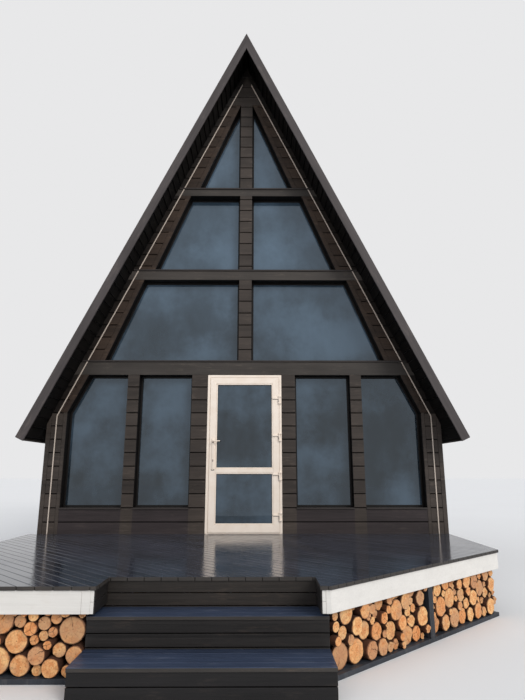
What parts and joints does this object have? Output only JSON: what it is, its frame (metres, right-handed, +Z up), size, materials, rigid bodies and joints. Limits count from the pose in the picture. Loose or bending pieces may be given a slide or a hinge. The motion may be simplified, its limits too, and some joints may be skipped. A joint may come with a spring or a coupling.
{
  "type": "a-frame cabin",
  "caption": "Dark timber A-frame cabin with a glazed front, a white glazed door, a deck with steps and firewood stacked under the deck.",
  "frame": {"origin": "on the ground, under the middle of the outer face of the front wall", "axes": "+X to the right seen from the front, +Y from the front wall into the cabin, +Z up"},
  "size_m": [5.6906, 9.9, 7.8413],
  "materials": {
    "dark_cladding": "satin",
    "barge_board": "satin",
    "soffit_board": "satin",
    "dark_frame": "satin",
    "roofing": "satin",
    "glass": "polished",
    "white_plastic": "satin",
    "white_board": "satin",
    "light_strip": "matte",
    "deck_board": "satin",
    "plain_timber": "matte",
    "log_wood": "matte",
    "concrete": "matte"
  },
  "bodies": {
    "cabin": {"foundation": "concrete", "ground_floor": "dark_cladding", "loft_floor": "plain_timber", "side_walls": "dark_cladding", "rear_wall": "dark_cladding", "window_frames": "dark_frame", "glass_upper": "glass", "glass_ground": "glass", "roof_left": "roofing", "roof_right": "roofing", "ridge_cap": "roofing", "soffit": "soffit_board", "eave_boards": "barge_board", "front_barge_left": "barge_board", "front_barge_right": "barge_board", "rear_barge_left": "barge_board", "rear_barge_right": "barge_board", "ground_posts": "dark_cladding", "beams": "dark_cladding", "ledges": "dark_frame", "sill_panels": "dark_cladding", "centre_mullion": "dark_cladding", "rake_strips": "dark_cladding", "light_strips": "light_strip", "door_frame": "white_plastic", "frame_hinges": "white_plastic", "deck_main": "deck_board", "deck_wings": "deck_board", "deck_joists": "plain_timber", "deck_posts": "plain_timber", "fascia_front": "white_board", "fascia_slanting": "white_board", "fascia_sides": "white_board", "step_treads": "deck_board", "step_risers": "deck_board", "step_sides": "deck_board", "under_deck_boards": "dark_cladding", "log_store_frames": "dark_frame", "logs_left": "log_wood", "logs_right": "log_wood"},
    "door": {"door_leaf": "white_plastic", "door_glass": "glass", "door_fittings": "white_plastic", "leaf_hinges": "white_plastic"},
    "lever": {"door_lever": "white_plastic"}
  },
  "joints": [
    {"name": "door_swing", "type": "hinge", "parent": "cabin", "child": "door", "pos_m": [0.466, -0.02, 1.65], "axis": [0, 0, 1], "range_deg": [0, 100]},
    {"name": "lever_turn", "type": "hinge", "parent": "door", "child": "lever", "pos_m": [-0.412, 0.02, 1.795], "axis": [0, 1, 0], "range_deg": [0, 45], "stiffness_Nm_per_rad": 1.5, "springref_deg": -20.05}
  ]
}
